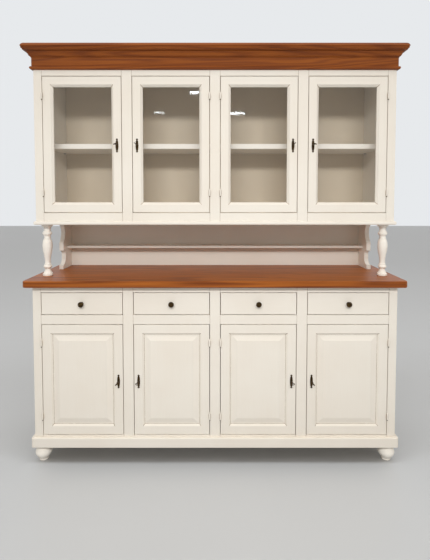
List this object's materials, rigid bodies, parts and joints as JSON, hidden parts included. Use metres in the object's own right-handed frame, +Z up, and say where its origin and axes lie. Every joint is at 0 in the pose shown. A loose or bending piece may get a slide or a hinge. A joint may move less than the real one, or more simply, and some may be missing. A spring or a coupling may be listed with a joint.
{
  "type": "dresser with hutch",
  "caption": "Painted country dresser with stained worktop and cornice: drawers over panelled doors, an open niche with turned posts, and a glazed hutch.",
  "frame": {"origin": "on the floor under the middle of the whole dresser, keys included", "axes": "+X to the right as seen from the front, +Y to the back, +Z up; the doors face -Y"},
  "size_m": [1.887, 0.458, 2.08],
  "materials": {
    "cream_paint": "satin cream paint",
    "stained_wood": "satin varnish over a red-brown stain",
    "bare_wood": "planed, unfinished",
    "bronze": "dark antique bronze",
    "glass": "clear, polished",
    "pin_steel": "plated",
    "painted_hinge": "painted over with the frame"
  },
  "bodies": {
    "carcass": {"base_back": "cream_paint", "base_face_frame": "cream_paint", "base_floor": "cream_paint", "base_partitions": "cream_paint", "base_shelves": "cream_paint", "base_sides": "cream_paint", "cornice": "stained_wood", "drawer_runners": "bare_wood", "feet": "cream_paint", "hinge_frame_leaves": "painted_hinge", "hutch_back": "cream_paint", "hutch_face_frame": "cream_paint", "hutch_floor": "cream_paint", "hutch_partitions": "cream_paint", "hutch_shelves": "cream_paint", "hutch_sides": "cream_paint", "hutch_top": "cream_paint", "niche_back": "cream_paint", "niche_ledge": "cream_paint", "plinth": "cream_paint", "scroll_brackets": "cream_paint", "shelf_pins": "pin_steel", "turned_posts": "cream_paint", "worktop": "stained_wood"},
    "drawer_1_box": {"drawer_1": "cream_paint", "drawer_1_knob": "bronze"},
    "drawer_2_box": {"drawer_2": "cream_paint", "drawer_2_knob": "bronze"},
    "drawer_3_box": {"drawer_3": "cream_paint", "drawer_3_knob": "bronze"},
    "drawer_4_box": {"drawer_4": "cream_paint", "drawer_4_knob": "bronze"},
    "lower_door_1": {"lower_door_1_leaf": "cream_paint", "lower_door_1_fittings": "bronze"},
    "lower_key_1": {"lower_door_1_key": "bronze"},
    "lower_door_2": {"lower_door_2_leaf": "cream_paint", "lower_door_2_fittings": "bronze"},
    "lower_key_2": {"lower_door_2_key": "bronze"},
    "lower_door_3": {"lower_door_3_leaf": "cream_paint", "lower_door_3_fittings": "bronze"},
    "lower_key_3": {"lower_door_3_key": "bronze"},
    "lower_door_4": {"lower_door_4_leaf": "cream_paint", "lower_door_4_fittings": "bronze"},
    "lower_key_4": {"lower_door_4_key": "bronze"},
    "upper_door_1": {"upper_door_1_frame": "cream_paint", "upper_door_1_glass": "glass", "upper_door_1_fittings": "bronze"},
    "upper_key_1": {"upper_door_1_key": "bronze"},
    "upper_door_2": {"upper_door_2_frame": "cream_paint", "upper_door_2_glass": "glass", "upper_door_2_fittings": "bronze"},
    "upper_key_2": {"upper_door_2_key": "bronze"},
    "upper_door_3": {"upper_door_3_frame": "cream_paint", "upper_door_3_glass": "glass", "upper_door_3_fittings": "bronze"},
    "upper_key_3": {"upper_door_3_key": "bronze"},
    "upper_door_4": {"upper_door_4_frame": "cream_paint", "upper_door_4_glass": "glass", "upper_door_4_fittings": "bronze"},
    "upper_key_4": {"upper_door_4_key": "bronze"}
  },
  "joints": [
    {"name": "drawer_1_slide", "type": "slide", "parent": "carcass", "child": "drawer_1_box", "axis": [0, -1, 0], "range_m": [0, 0.3]},
    {"name": "drawer_2_slide", "type": "slide", "parent": "carcass", "child": "drawer_2_box", "axis": [0, -1, 0], "range_m": [0, 0.3]},
    {"name": "drawer_3_slide", "type": "slide", "parent": "carcass", "child": "drawer_3_box", "axis": [0, -1, 0], "range_m": [0, 0.3]},
    {"name": "drawer_4_slide", "type": "slide", "parent": "carcass", "child": "drawer_4_box", "axis": [0, -1, 0], "range_m": [0, 0.3]},
    {"name": "lower_door_1_hinge", "type": "hinge", "parent": "carcass", "child": "lower_door_1", "pos_m": [-0.8585, -0.1883, 0.142], "axis": [0, 0, -1], "range_deg": [0, 170]},
    {"name": "lower_key_1_turn", "type": "hinge", "parent": "lower_door_1", "child": "lower_key_1", "pos_m": [-0.48, -0.183, 0.419], "axis": [0, -1, 0], "range_deg": [0, 90]},
    {"name": "lower_door_2_hinge", "type": "hinge", "parent": "carcass", "child": "lower_door_2", "pos_m": [-0.0265, -0.1883, 0.142], "axis": [0, 0, 1], "range_deg": [0, 85]},
    {"name": "lower_key_2_turn", "type": "hinge", "parent": "lower_door_2", "child": "lower_key_2", "pos_m": [-0.38, -0.183, 0.419], "axis": [0, 1, 0], "range_deg": [0, 90]},
    {"name": "lower_door_3_hinge", "type": "hinge", "parent": "carcass", "child": "lower_door_3", "pos_m": [0.0265, -0.1883, 0.142], "axis": [0, 0, -1], "range_deg": [0, 85]},
    {"name": "lower_key_3_turn", "type": "hinge", "parent": "lower_door_3", "child": "lower_key_3", "pos_m": [0.38, -0.183, 0.419], "axis": [0, -1, 0], "range_deg": [0, 90]},
    {"name": "lower_door_4_hinge", "type": "hinge", "parent": "carcass", "child": "lower_door_4", "pos_m": [0.8585, -0.1883, 0.142], "axis": [0, 0, 1], "range_deg": [0, 170]},
    {"name": "lower_key_4_turn", "type": "hinge", "parent": "lower_door_4", "child": "lower_key_4", "pos_m": [0.48, -0.183, 0.419], "axis": [0, 1, 0], "range_deg": [0, 90]},
    {"name": "upper_door_1_hinge", "type": "hinge", "parent": "carcass", "child": "upper_door_1", "pos_m": [-0.8585, -0.1363, 1.252], "axis": [0, 0, -1], "range_deg": [0, 170]},
    {"name": "upper_key_1_turn", "type": "hinge", "parent": "upper_door_1", "child": "upper_key_1", "pos_m": [-0.489, -0.131, 1.593], "axis": [0, -1, 0], "range_deg": [0, 90]},
    {"name": "upper_door_2_hinge", "type": "hinge", "parent": "carcass", "child": "upper_door_2", "pos_m": [-0.0265, -0.1363, 1.252], "axis": [0, 0, 1], "range_deg": [0, 85]},
    {"name": "upper_key_2_turn", "type": "hinge", "parent": "upper_door_2", "child": "upper_key_2", "pos_m": [-0.389, -0.131, 1.593], "axis": [0, 1, 0], "range_deg": [0, 90]},
    {"name": "upper_door_3_hinge", "type": "hinge", "parent": "carcass", "child": "upper_door_3", "pos_m": [0.0265, -0.1363, 1.252], "axis": [0, 0, -1], "range_deg": [0, 85]},
    {"name": "upper_key_3_turn", "type": "hinge", "parent": "upper_door_3", "child": "upper_key_3", "pos_m": [0.389, -0.131, 1.593], "axis": [0, -1, 0], "range_deg": [0, 90]},
    {"name": "upper_door_4_hinge", "type": "hinge", "parent": "carcass", "child": "upper_door_4", "pos_m": [0.8585, -0.1363, 1.252], "axis": [0, 0, 1], "range_deg": [0, 170]},
    {"name": "upper_key_4_turn", "type": "hinge", "parent": "upper_door_4", "child": "upper_key_4", "pos_m": [0.489, -0.131, 1.593], "axis": [0, 1, 0], "range_deg": [0, 90]}
  ]
}
